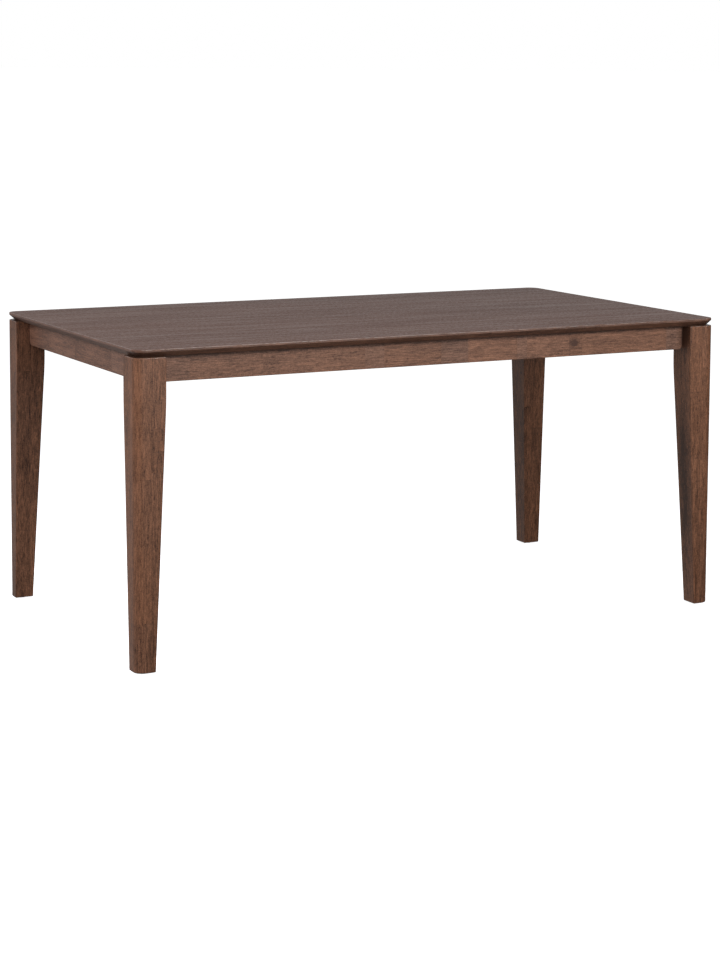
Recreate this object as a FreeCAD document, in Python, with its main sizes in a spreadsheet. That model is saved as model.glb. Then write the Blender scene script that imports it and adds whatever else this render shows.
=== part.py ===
import FreeCAD, Part
import math
import os
import re
import Sketcher

# A fixed-top dining table: a veneered top with a bevel under its rim, on four tapered legs.
# Low aprons stand back from the legs' outer faces and butt against the legs on dowels.
# A wooden block across each inner corner takes two hanger bolts that pull the leg tight.
# The origin is on the floor under the middle of the top: X along the table, Z up.

# Each row holds a size's name, its value in millimetres or as a share, and what it measures.
SIZE_ROWS = (
    ("table_length", "1600", "overall length of the top"),
    ("table_width", "900", "overall width of the top"),
    ("table_height", "750", "floor to the top's upper face"),
    ("top_thickness", "19", "top with both veneers"),
    ("veneer_thickness", "0.6", "each of the two veneers"),
    ("rim_height", "6", "upright edge above the bevel"),
    ("bevel_inset", "14", "how far the bevel runs in under the top"),
    ("top_corner_radius", "28", "rounding of the top's corners seen from above"),
    ("lipping_width", "50", "solid edge strips around the core panel"),
    ("leg_inset", "1", "leg's outer faces inside the top's rim"),
    ("leg_width", "76", "leg across each way at the aprons"),
    ("foot_width", "48", "leg across each way at the floor end"),
    ("taper_drop", "19", "apron's lower edge down to where the leg's taper begins"),
    ("taper_curve_radius", "1200", "curve that leads into the taper"),
    ("leg_corner_radius", "24", "rounding of the leg's outer corner"),
    ("leg_arris_radius", "2.5", "easing of the leg's other long edges"),
    ("foot_chamfer", "1.2", "bevel around the foot"),
    ("bolt_seat_cut", "12", "flat across the leg's inner corner, along each face"),
    ("apron_step", "19", "apron's inner face outside the leg's inner face"),
    ("apron_thickness", "22", "apron board"),
    ("apron_height", "62", "apron board"),
    ("apron_end_radius", "12", "rounding of the apron's lower end corners"),
    ("dowel_diameter", "8", "apron and rail dowels"),
    ("dowel_length", "30", "apron and rail dowels"),
    ("dowel_spacing", "32", "between the two dowels of an apron end"),
    ("dowel_play", "0.2", "dowel hole wider than the dowel"),
    ("dowel_end_play", "0.5", "dowel hole deeper than its half of the dowel"),
    ("rail_thickness", "22", "cross rail"),
    ("rail_height", "40", "cross rail"),
    ("rail_dowel_spacing", "20", "between the two dowels of a rail end"),
    ("rail_dowel_bite", "14", "rail dowel's length inside the apron"),
    ("block_thickness", "22", "corner block, from its leg side to its inner side"),
    ("block_height", "46", "corner block"),
    ("block_gap", "3", "between the leg's bolt seat and the block"),
    ("bolt_diameter", "8", "hanger bolt"),
    ("bolt_length", "80", "hanger bolt"),
    ("bolt_bite", "40", "hanger bolt's length inside the leg"),
    ("bolt_spacing", "28", "between the two bolts of a leg"),
    ("bolt_play", "1", "block's bolt hole wider than the bolt"),
    ("thread_play", "0.2", "pilot holes and nut bores wider than what they hold"),
    ("washer_diameter", "16", "plain washer"),
    ("washer_thickness", "1.6", "plain washer"),
    ("nut_width", "13", "across the nut's flats"),
    ("nut_height", "6.5", "nut along the bolt"),
    ("screw_diameter", "4", "wood screws of the blocks and brackets"),
    ("screw_head_diameter", "8", "wood screws of the blocks and brackets"),
    ("screw_head_height", "2.5", "wood screws of the blocks and brackets"),
    ("screw_point_length", "4", "cone at the end of every wood screw"),
    ("screw_crown_share", "0.6", "top of a screw's head, of its full width"),
    ("block_screw_length", "25", "under the head"),
    ("block_screw_bite", "14", "block screw's length inside the apron"),
    ("block_screw_spacing", "24", "between the two screws of a block end"),
    ("counterbore_play", "1", "recess around a sunk screw head wider than the head"),
    ("bracket_reach", "25", "each side of the angle bracket"),
    ("bracket_width", "20", "angle bracket along the apron"),
    ("bracket_thickness", "2", "angle bracket's sheet"),
    ("bracket_bend_radius", "3", "outside of the angle bracket's bend"),
    ("bracket_hole_diameter", "4.6", "one hole in each side of the bracket"),
    ("bracket_hole_distance", "15", "hole's centre from the bracket's corner"),
    ("bracket_screw_length", "16", "under the head"),
    ("rail_screw_diameter", "5", "screws up through the rail into the top"),
    ("rail_screw_head_diameter", "10", "screws up through the rail into the top"),
    ("rail_screw_length", "50", "under the head"),
    ("rail_screw_sink", "5", "screw head's seat above the rail's lower face"),
    ("glide_diameter", "24", "round glide under each foot"),
    ("glide_height", "3", "round glide under each foot"),
    ("glide_chamfer", "0.8", "edge of the glide that meets the floor"),
    ("nail_diameter", "2.5", "glide's nail"),
    ("nail_length", "18", "glide's nail above its head"),
    ("nail_head_diameter", "8", "glide's nail"),
    ("nail_head_height", "1", "glide's nail"),
    ("nail_head_recess", "1.6", "nail head's upper side above the glide's floor face"),
    ("pilot_end_play", "0.5", "pilot hole deeper than its screw, bolt or nail"),
    ("inner_bracket_share", "0.15", "of the table's length, from its middle"),
    ("outer_bracket_share", "0.33", "of the table's length, from its middle"),
    ("end_bracket_share", "0.2", "of the table's width, from its middle"),
    ("rail_screw_share", "0.3", "of the table's width, from its middle"),
)

doc = FreeCAD.newDocument("DiningTable")
sheet = doc.addObject("Spreadsheet::Sheet", "Sizes")
for row, (alias, number, meaning) in enumerate(SIZE_ROWS, start=1):
    sheet.set(f"A{row}", alias)
    sheet.set(f"B{row}", number)
    sheet.set(f"C{row}", meaning)
    sheet.setAlias(f"B{row}", alias)
doc.recompute()

size = {alias: float(sheet.get(alias)) for alias, _, _ in SIZE_ROWS}
same_place = 0.001 * size["veneer_thickness"]

# Places that several pieces share, as sums of the sheet's names.
UNDERSIDE = "(table_height - top_thickness)"
APRON_BOTTOM = f"({UNDERSIDE} - apron_height)"
JOINT_LEVEL = f"({UNDERSIDE} - apron_height / 2)"
LEG_LENGTH = f"({UNDERSIDE} - glide_height)"
TAPER_LEVEL = f"({APRON_BOTTOM} - taper_drop)"
APRON_INNER = "(leg_width - apron_step)"
APRON_MIDDLE = f"({APRON_INNER} - apron_thickness / 2)"
APRON_OUTER = f"({APRON_INNER} - apron_thickness)"
LONG_APRON_HALF = "(table_length / 2 - leg_inset - leg_width)"
SHORT_APRON_HALF = "(table_width / 2 - leg_inset - leg_width)"
CORE_THICKNESS = "(top_thickness - 2 * veneer_thickness)"

# Sums of the two coordinates, from the leg's outer corner, on planes that face along its diagonal.
SEAT_SUM = "(2 * leg_width - bolt_seat_cut)"
NEAR_SUM = f"({SEAT_SUM} + block_gap * sqrt(2))"
FAR_SUM = f"({NEAR_SUM} + block_thickness * sqrt(2))"
BOLT_START = f"({SEAT_SUM} / 2 - bolt_bite / sqrt(2))"
BLOCK_SCREW_PLACE = f"(({NEAR_SUM} + {FAR_SUM}) / 2 - {APRON_INNER})"
BLOCK_SCREW_SEAT = f"({APRON_INNER} + block_screw_length - block_screw_bite)"
BRACKET_PILOT_DEPTH = "bracket_screw_length - bracket_thickness + pilot_end_play"

LEFT, RIGHT = "(-table_length / 2 + leg_inset)", "(table_length / 2 - leg_inset)"
FRONT, BACK = "(-table_width / 2 + leg_inset)", "(table_width / 2 - leg_inset)"
CORNERS = (
    ("front_left", LEFT, FRONT, 0),
    ("front_right", RIGHT, FRONT, 90),
    ("back_right", RIGHT, BACK, 180),
    ("back_left", LEFT, BACK, 270),
)

Z_UP = FreeCAD.Vector(0, 0, 1)
ALONG_DIAGONAL = FreeCAD.Vector(1, 1, 0)
NORMAL_SIGN = {"XY_Plane": 1, "XZ_Plane": -1, "YZ_Plane": 1}

nodes = []


def formula(text):
    """Turn a sum of size names into an expression that reads them from the sheet."""
    return re.sub(r"[a-z]\w+", lambda word: f"Sizes.{word[0]}" if word[0] in size else word[0], text)


def bind(item, **sums):
    """Tie properties of an object to sums of the sheet's sizes."""
    for name, text in sums.items():
        item.setExpression(name, formula(text))
    return item


def place(item, x, y, z, turn=0, towards=None):
    """Turn an object about Z by some degrees, or its Z axis towards a direction, and tie its place."""
    rotation = FreeCAD.Rotation(Z_UP, turn) if towards is None else FreeCAD.Rotation(Z_UP, towards)
    item.Placement = FreeCAD.Placement(FreeCAD.Vector(), rotation)
    item.setExpression("Placement.Base.x", formula(x))
    item.setExpression("Placement.Base.y", formula(y))
    item.setExpression("Placement.Base.z", formula(z))
    return item


def node(item, name):
    """List an object as one of the table's separate pieces, or one group of like pieces."""
    item.Label = name
    nodes.append(item)
    return item


def sketch_on(body, plane, level):
    """Start a sketch on a plane of the body's own origin, moved to a level along the third axis."""
    support = next(item for item in body.Origin.OriginFeatures if item.Role == plane)
    sketch = body.newObject("Sketcher::SketchObject", "Sketch")
    sketch.AttachmentSupport = [(support, "")]
    sketch.MapMode = "FlatFace"
    sign = "" if NORMAL_SIGN[plane] > 0 else "-"
    sketch.setExpression("AttachmentOffset.Base.z", formula(f"{sign}({level})"))
    return sketch


def hold_point(sketch, geometry, point, across, up):
    """Hold one point of a sketch at two sums of sizes."""
    for kind, text in (("DistanceX", across), ("DistanceY", up)):
        index = sketch.addConstraint(Sketcher.Constraint(kind, geometry, point, size["leg_inset"]))
        sketch.setExpression(f"Constraints[{index}]", formula(text))


def polygon(body, plane, level, corners):
    """Sketch a closed outline of straight lines with each corner held at its place."""
    sketch = sketch_on(body, plane, level)
    reach = FreeCAD.Vector(size["leg_width"], 0, 0)
    turns = [FreeCAD.Rotation(Z_UP, 360 * i / len(corners)) for i in range(len(corners))]
    rough = [turn.multVec(reach) for turn in turns]
    for i, start in enumerate(rough):
        sketch.addGeometry(Part.LineSegment(start, rough[(i + 1) % len(rough)]), False)
    for i, (across, up) in enumerate(corners):
        previous = (i - 1) % len(corners)
        sketch.addConstraint(Sketcher.Constraint("Coincident", previous, 2, i, 1))
        hold_point(sketch, i, 1, across, up)
    return sketch


def pad(body, sketch, plane, length, forward=True):
    """Raise a sketch into a solid along its plane's third axis, or against it."""
    feature = body.newObject("PartDesign::Pad", "Pad")
    feature.Profile = sketch
    feature.Reversed = forward != (NORMAL_SIGN[plane] > 0)
    return bind(feature, Length=length)


def pocket(body, sketch, plane, length, forward):
    """Cut a sketch away to a depth along its plane's third axis, or against it."""
    feature = body.newObject("PartDesign::Pocket", "Pocket")
    feature.Profile = sketch
    feature.Reversed = forward == (NORMAL_SIGN[plane] > 0)
    return bind(feature, Length=length)


def drill(body, plane, level, centres, diameter, depth, forward):
    """Drill round holes to one depth, with their mouths at a level of the plane's third axis."""
    sketch = sketch_on(body, plane, level)
    for across, up in centres:
        circle = Part.Circle(FreeCAD.Vector(), Z_UP, size["dowel_diameter"])
        index = sketch.addGeometry(circle, False)
        hold_point(sketch, index, 3, across, up)
        radius = sketch.addConstraint(Sketcher.Constraint("Radius", index, size["dowel_diameter"]))
        sketch.setExpression(f"Constraints[{radius}]", formula(f"({diameter}) / 2"))
    return pocket(body, sketch, plane, depth, forward)


def bore(body, start, towards, diameter, depth):
    """Bore one round hole from a point in any direction."""
    support = next(item for item in body.Origin.OriginFeatures if item.Role == "XY_Plane")
    feature = body.newObject("PartDesign::SubtractiveCylinder", "Bore")
    feature.AttachmentSupport = [(support, "")]
    feature.MapMode = "FlatFace"
    feature.AttachmentOffset = FreeCAD.Placement(FreeCAD.Vector(), FreeCAD.Rotation(Z_UP, towards))
    for axis, text in zip("xyz", start):
        feature.setExpression(f"AttachmentOffset.Base.{axis}", formula(text))
    return bind(feature, Radius=f"({diameter}) / 2", Height=depth)


def either_side(text):
    """Give a distance and its opposite, for places on both sides of a middle."""
    return (f"-({text})", f"({text})")


def around(middle, spacing):
    """Give two levels spaced evenly about a middle one."""
    return (f"({middle} - {spacing} / 2)", f"({middle} + {spacing} / 2)")


def edge_names(shape, wanted):
    """Name the edges of a shape whose end points pass a test."""
    chosen = []
    for index, edge in enumerate(shape.Edges, start=1):
        points = [vertex.Point for vertex in edge.Vertexes]
        if wanted(points):
            chosen.append(f"Edge{index}")
    return chosen


def on_level(points, height):
    """Tell whether all the points lie at one height."""
    return all(abs(point.z - height) < same_place for point in points)


def soften(body, kind, base, wanted, **sums):
    """Round or chamfer the edges of a feature that pass a test."""
    doc.recompute()
    feature = body.newObject(kind, "Edge")
    feature.Base = (base, edge_names(base.Shape, wanted))
    return bind(feature, **sums)


def cylinder(diameter, height):
    """Make a plain round bar along Z."""
    bar = doc.addObject("Part::Cylinder", "Bar")
    return bind(bar, Radius=f"({diameter}) / 2", Height=height)


def cone(lower, upper, height):
    """Make a round bar along Z whose diameter changes evenly."""
    bar = doc.addObject("Part::Cone", "Taper")
    return bind(bar, Radius1=f"({lower}) / 2", Radius2=f"({upper}) / 2", Height=height)


def joined(parts):
    """Join solids into one."""
    whole = doc.addObject("Part::MultiFuse", "Joined")
    whole.Shapes = parts
    return whole


def grouped(parts):
    """Keep solids together as one group without joining them."""
    group = doc.addObject("Part::Compound", "Group")
    group.Links = parts
    return group


def difference(base, tool):
    """Take one shape away from another."""
    result = doc.addObject("Part::Cut", "Cut")
    result.Base = base
    result.Tool = tool
    return result


def overlap(base, tool):
    """Keep what two shapes share."""
    result = doc.addObject("Part::Common", "Common")
    result.Base = base
    result.Tool = tool
    return result


def copy_of(item):
    """Make another copy of a shape, to be put in a place of its own."""
    link = doc.addObject("App::Link", "Copy")
    link.LinkedObject = item
    return link


def at_corners(item):
    """Copy what is built at the leg's outer corner to the table's four corners."""
    return grouped([place(copy_of(item), x, y, "0", turn) for _, x, y, turn in CORNERS])


def wood_screw(diameter, length, head_diameter, head_height):
    """Make a pan-headed wood screw along Z, its head's seat at zero and its point upwards."""
    shank = cylinder(diameter, f"{length} - screw_point_length")
    point = place(cone(diameter, "0", "screw_point_length"), "0", "0", f"{length} - screw_point_length")
    crown = f"{head_diameter} * screw_crown_share"
    head = place(cone(crown, head_diameter, head_height), "0", "0", f"-{head_height}")
    return joined([shank, point, head])


# The top's outline carries the corner rounding, the rim and the bevel. All its pieces are cut from it.
def top_blank():
    """Make the whole top as one bevelled slab."""
    body = doc.addObject("PartDesign::Body", "TopBlank")
    signs = (("-", "-"), ("", "-"), ("", ""), ("-", ""))
    corners = [(f"{a}table_length / 2", f"{b}table_width / 2") for a, b in signs]
    slab = pad(body, polygon(body, "XY_Plane", "0", corners), "XY_Plane", "top_thickness")
    upright = lambda points: abs(points[0].z - points[-1].z) > same_place
    rounded = soften(body, "PartDesign::Fillet", slab, upright, Radius="top_corner_radius")
    under = lambda points: on_level(points, 0)
    bevel = soften(body, "PartDesign::Chamfer", rounded, under, Size2="bevel_inset")
    bind(bevel, Size="top_thickness - rim_height")
    bevel.ChamferType = "Two distances"
    return place(body, "0", "0", UNDERSIDE)


def top_layer(blank, bottom, thickness):
    """Slice one flat layer out of the top."""
    slab = doc.addObject("Part::Box", "Layer")
    bind(slab, Length="table_length", Width="table_width", Height=thickness)
    place(slab, "-table_length / 2", "-table_width / 2", bottom)
    return overlap(blank, slab)


def lipping(blank, half_length, x, y, turn):
    """Cut one solid edge strip out of the top, mitred at both ends."""
    strip = doc.addObject("Part::Wedge", "Strip")
    bind(strip, Xmin=f"-{half_length}", Xmax=half_length, Ymax="lipping_width")
    bind(strip, X2min=f"lipping_width - {half_length}", X2max=f"{half_length} - lipping_width")
    bind(strip, Zmax=CORE_THICKNESS, Z2max=CORE_THICKNESS)
    for name in ("Ymin", "Zmin", "Z2min"):
        setattr(strip, name, 0)
    place(strip, x, y, f"{UNDERSIDE} + veneer_thickness", turn)
    return overlap(blank, strip)


# Angle brackets stand on the aprons' inner faces, in the corner under the top.
LONG_PLACES = (
    either_side("table_length * inner_bracket_share")
    + either_side("table_length * outer_bracket_share")
)
SHORT_PLACES = either_side("table_width * end_bracket_share")
BRACKET_SPOTS = (
    [(x, f"{FRONT} + {APRON_INNER}", 0) for x in LONG_PLACES]
    + [(x, f"{BACK} - {APRON_INNER}", 180) for x in LONG_PLACES]
    + [(f"{LEFT} + {APRON_INNER}", y, -90) for y in SHORT_PLACES]
    + [(f"{RIGHT} - {APRON_INNER}", y, 90) for y in SHORT_PLACES]
)


def at_brackets(item):
    """Copy what is built at a bracket's corner to every bracket."""
    return grouped([place(copy_of(item), x, y, UNDERSIDE, turn) for x, y, turn in BRACKET_SPOTS])


def angle_bracket():
    """Make a bent steel angle: one side down the apron, one side under the top, a hole in each."""
    body = doc.addObject("PartDesign::Body", "AngleBracket")
    corners = (
        ("0", "0"),
        ("0", "-bracket_reach"),
        ("bracket_thickness", "-bracket_reach"),
        ("bracket_thickness", "-bracket_thickness"),
        ("bracket_reach", "-bracket_thickness"),
        ("bracket_reach", "0"),
    )
    profile = polygon(body, "YZ_Plane", "-bracket_width / 2", corners)
    angle = pad(body, profile, "YZ_Plane", "bracket_width")
    outer = lambda points: all(abs(point.y) + abs(point.z) < same_place for point in points)
    soften(body, "PartDesign::Fillet", angle, outer, Radius="bracket_bend_radius")
    doc.recompute()
    hole = ("bracket_hole_diameter", "bracket_thickness")
    drill(body, "XZ_Plane", "0", [("0", "-bracket_hole_distance")], *hole, True)
    drill(body, "XY_Plane", "0", [("0", "bracket_hole_distance")], *hole, False)
    return body


def bracket_screw_pair(item):
    """Put one screw through the bracket into the apron and one up into the top."""
    apron_seat = ("0", "bracket_thickness", "-bracket_hole_distance")
    into_apron = place(copy_of(item), *apron_seat, towards=FreeCAD.Vector(0, -1, 0))
    into_top = place(copy_of(item), "0", "bracket_hole_distance", "-bracket_thickness")
    return grouped([into_apron, into_top])


# The cross rail's screws go up through it at its middle and towards both ends.
RAIL_SCREW_PLACES = ("0",) + either_side("table_width * rail_screw_share")
RAIL_SCREW_SEAT = f"({UNDERSIDE} - rail_height + rail_screw_sink)"
RAIL_SCREW_BITE = "(rail_screw_length - rail_height + rail_screw_sink)"


def at_rail_screws(item, level):
    """Copy something to each of the rail's screws."""
    return grouped([place(copy_of(item), "0", y, level) for y in RAIL_SCREW_PLACES])


def make_top():
    """Make the top's seven pieces: core, four lippings and two veneers, drilled for the screws below."""
    blank = top_blank()
    bracket_pilot = cylinder("screw_diameter + thread_play", BRACKET_PILOT_DEPTH)
    bracket_pilots = at_brackets(grouped([place(bracket_pilot, "0", "bracket_hole_distance", "0")]))
    rail_pilot = cylinder("rail_screw_diameter + thread_play", f"{RAIL_SCREW_BITE} + pilot_end_play")
    pilots = grouped([bracket_pilots, at_rail_screws(rail_pilot, UNDERSIDE)])
    core = doc.addObject("Part::Box", "Core")
    bind(core, Length="table_length - 2 * lipping_width", Width="table_width - 2 * lipping_width")
    bind(core, Height=CORE_THICKNESS)
    core_corner = ("lipping_width - table_length / 2", "lipping_width - table_width / 2")
    place(core, *core_corner, f"{UNDERSIDE} + veneer_thickness")
    node(difference(core, pilots), "top_core_panel")
    node(top_layer(blank, "table_height - veneer_thickness", "veneer_thickness"), "face_veneer")
    node(difference(top_layer(blank, UNDERSIDE, "veneer_thickness"), pilots), "backing_veneer")
    node(lipping(blank, "table_length / 2", "0", "-table_width / 2", 0), "front_lipping")
    node(lipping(blank, "table_length / 2", "0", "table_width / 2", 180), "back_lipping")
    node(lipping(blank, "table_width / 2", "-table_length / 2", "0", -90), "left_lipping")
    node(lipping(blank, "table_width / 2", "table_length / 2", "0", 90), "right_lipping")


# A leg is drawn from its outer corner at the foot. Its two outer faces are upright and its two
# inner faces run in from the taper level to the narrow foot, along one curve and one straight line.
def leg_outline(body, plane, waste):
    """Sketch the leg's side view, or the wood beyond its inner face that is cut away."""
    sketch = sketch_on(body, plane, "0")
    width, foot, radius = size["leg_width"], size["foot_width"], size["taper_curve_radius"]
    length = size["table_height"] - size["top_thickness"] - size["glide_height"]
    bend = length - size["apron_height"] - size["taper_drop"]
    slope = math.atan2(width - foot, bend)
    curve_end = FreeCAD.Vector(width - radius * (1 - math.cos(slope)), bend - radius * math.sin(slope))
    far = 2 * width if waste else 0
    corners = ((width, bend), (width, length), (far, length), (far, 0))
    points = [FreeCAD.Vector(foot, 0), curve_end] + [FreeCAD.Vector(*corner) for corner in corners]
    sketch.addGeometry(Part.LineSegment(points[0], points[1]), False)
    circle = Part.Circle(FreeCAD.Vector(width - radius, bend), Z_UP, radius)
    sketch.addGeometry(Part.ArcOfCircle(circle, -slope, 0), False)
    for start, end in zip(points[2:], points[3:] + points[:1]):
        sketch.addGeometry(Part.LineSegment(start, end), False)
    joints = ((0, 2, 1, 1), (1, 2, 2, 1), (2, 2, 3, 1), (3, 2, 4, 1), (4, 2, 5, 1), (5, 2, 0, 1))
    for first, first_end, second, second_end in joints:
        kind = "Tangent" if 1 in (first, second) else "Coincident"
        sketch.addConstraint(Sketcher.Constraint(kind, first, first_end, second, second_end))
    index = sketch.addConstraint(Sketcher.Constraint("Radius", 1, radius))
    sketch.setExpression(f"Constraints[{index}]", formula("taper_curve_radius"))
    outer = "2 * leg_width" if waste else "0"
    hold_point(sketch, 0, 1, "foot_width", "0")
    hold_point(sketch, 2, 1, "leg_width", f"{TAPER_LEVEL} - glide_height")
    hold_point(sketch, 4, 1, outer, LEG_LENGTH)
    hold_point(sketch, 5, 1, outer, "0")
    sketch.addConstraint(Sketcher.Constraint("Horizontal", 3))
    sketch.addConstraint(Sketcher.Constraint("Vertical", 2))
    return sketch


def make_leg(name, x, y, turn):
    """Make one leg with its bolt seat and its bolt, dowel and nail holes."""
    body = doc.addObject("PartDesign::Body", "Leg")
    side = pad(body, leg_outline(body, "XZ_Plane", False), "XZ_Plane", "leg_width")
    tapered = pocket(body, leg_outline(body, "YZ_Plane", True), "YZ_Plane", "leg_width", True)
    at_corner = lambda point: abs(point.x) < same_place and abs(point.y) < same_place
    runs_up = lambda points: abs(points[0].z - points[-1].z) > same_place
    outer = lambda points: runs_up(points) and at_corner(points[0])
    corner = soften(body, "PartDesign::Fillet", tapered, outer, Radius="leg_corner_radius")
    past_corner = size["leg_corner_radius"] + same_place
    other = lambda points: runs_up(points) and max(points[0].x, points[0].y) > past_corner
    arrises = soften(body, "PartDesign::Fillet", corner, other, Radius="leg_arris_radius")
    foot = lambda points: on_level(points, 0)
    soften(body, "PartDesign::Chamfer", arrises, foot, Size="foot_chamfer")
    doc.recompute()
    cut_start = "leg_width - bolt_seat_cut"
    seat = (("leg_width", cut_start), ("leg_width", "leg_width"), (cut_start, "leg_width"))
    pocket(body, polygon(body, "XY_Plane", LEG_LENGTH, seat), "XY_Plane", "apron_height", False)
    joint = f"({JOINT_LEVEL} - glide_height)"
    for level in around(joint, "bolt_spacing"):
        start = f"{BOLT_START} - pilot_end_play"
        bore(body, (start, start, level), ALONG_DIAGONAL, "bolt_diameter + thread_play", "bolt_length")
    dowel_hole = ("dowel_diameter + dowel_play", "dowel_length / 2 + dowel_end_play")
    centres = [(APRON_MIDDLE, level) for level in around(joint, "dowel_spacing")]
    for plane in ("XZ_Plane", "YZ_Plane"):
        drill(body, plane, "leg_width", centres, *dowel_hole, False)
    foot_middle = [("foot_width / 2", "foot_width / 2")]
    nail_depth = "nail_head_recess + nail_length - glide_height + pilot_end_play"
    drill(body, "XY_Plane", "0", foot_middle, "nail_diameter + thread_play", nail_depth, True)
    return node(place(body, x, y, "glide_height", turn), f"{name}_leg")


# An apron is drawn from the middle of its lower outer edge, with Y inwards.
def make_apron(name, half_length, bracket_places, takes_rail, x, y, turn):
    """Make one apron board with rounded lower end corners and its dowel and screw holes."""
    body = doc.addObject("PartDesign::Body", "Apron")
    ends = either_side(half_length)
    corners = [(ends[0], "0"), (ends[1], "0"), (ends[1], "apron_height"), (ends[0], "apron_height")]
    board = pad(body, polygon(body, "XZ_Plane", "0", corners), "XZ_Plane", "apron_thickness")
    lower_end = lambda points: on_level(points, 0) and abs(points[0].x - points[-1].x) < same_place
    soften(body, "PartDesign::Fillet", board, lower_end, Radius="apron_end_radius")
    doc.recompute()
    dowel_levels = around("apron_height / 2", "dowel_spacing")
    dowel_centres = [("apron_thickness / 2", level) for level in dowel_levels]
    for end, forward in zip(ends, (True, False)):
        depth = "dowel_length / 2 + dowel_end_play"
        drill(body, "YZ_Plane", end, dowel_centres, "dowel_diameter + dowel_play", depth, forward)
    block_places = either_side(f"{half_length} + leg_width - {BLOCK_SCREW_PLACE}")
    block_levels = around("apron_height / 2", "block_screw_spacing")
    pilots = [(across, up) for across in block_places for up in block_levels]
    pilot = "screw_diameter + thread_play"
    drill(body, "XZ_Plane", "apron_thickness", pilots, pilot, "block_screw_bite + pilot_end_play", False)
    pilots = [(across, "apron_height - bracket_hole_distance") for across in bracket_places]
    drill(body, "XZ_Plane", "apron_thickness", pilots, pilot, BRACKET_PILOT_DEPTH, False)
    if takes_rail:
        levels = around("apron_height - rail_height / 2", "rail_dowel_spacing")
        depth = "rail_dowel_bite + dowel_end_play"
        centres = [("0", level) for level in levels]
        drill(body, "XZ_Plane", "apron_thickness", centres, "dowel_diameter + dowel_play", depth, False)
    return node(place(body, x, y, APRON_BOTTOM, turn), f"{name}_apron")


def make_cross_rail():
    """Make the rail that ties the long aprons together and stiffens the middle of the top."""
    body = doc.addObject("PartDesign::Body", "CrossRail")
    half = f"(table_width / 2 - leg_inset - {APRON_INNER})"
    across = either_side("rail_thickness / 2")
    corners = [(across[0], "-rail_height"), (across[1], "-rail_height"), (across[1], "0"), (across[0], "0")]
    pad(body, polygon(body, "XZ_Plane", f"-{half}", corners), "XZ_Plane", f"2 * {half}")
    doc.recompute()
    centres = [("0", level) for level in around("-rail_height / 2", "rail_dowel_spacing")]
    depth = "dowel_length - rail_dowel_bite + dowel_end_play"
    for end, forward in ((f"-{half}", True), (half, False)):
        drill(body, "XZ_Plane", end, centres, "dowel_diameter + dowel_play", depth, forward)
    centres = [("0", along) for along in RAIL_SCREW_PLACES]
    hole = "rail_screw_diameter + thread_play"
    drill(body, "XY_Plane", "-rail_height", centres, hole, "rail_height", True)
    head = "rail_screw_head_diameter + counterbore_play"
    drill(body, "XY_Plane", "-rail_height", centres, head, "rail_screw_sink", True)
    return node(place(body, "0", "0", UNDERSIDE), "cross_rail")


# The hardware of one leg joint is drawn from the leg's outer corner, with Z from the floor.
def make_corner_block(name, x, y, turn):
    """Make the block that spans the inner corner between two aprons, with its bolt and screw holes."""
    body = doc.addObject("PartDesign::Body", "CornerBlock")
    near, far = f"{NEAR_SUM} - {APRON_INNER}", f"{FAR_SUM} - {APRON_INNER}"
    corners = [(APRON_INNER, near), (near, APRON_INNER), (far, APRON_INNER), (APRON_INNER, far)]
    pad(body, polygon(body, "XY_Plane", "-block_height / 2", corners), "XY_Plane", "block_height")
    doc.recompute()
    for level in around("0", "bolt_spacing"):
        start = f"{SEAT_SUM} / 2"
        bore(body, (start, start, level), ALONG_DIAGONAL, "bolt_diameter + bolt_play", "bolt_length")
    centres = [(BLOCK_SCREW_PLACE, level) for level in around("0", "block_screw_spacing")]
    head = "screw_head_diameter + counterbore_play"
    for plane in ("XZ_Plane", "YZ_Plane"):
        drill(body, plane, APRON_INNER, centres, "screw_diameter + thread_play", FAR_SUM, True)
        drill(body, plane, BLOCK_SCREW_SEAT, centres, head, FAR_SUM, True)
    return node(place(body, x, y, JOINT_LEVEL, turn), f"{name}_corner_block")


def along_bolts(item, start):
    """Copy something to both bolts of a leg, at a distance along the diagonal."""
    copies = []
    for level in around(JOINT_LEVEL, "bolt_spacing"):
        copies.append(place(copy_of(item), start, start, level, 0, ALONG_DIAGONAL))
    return grouped(copies)


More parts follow.
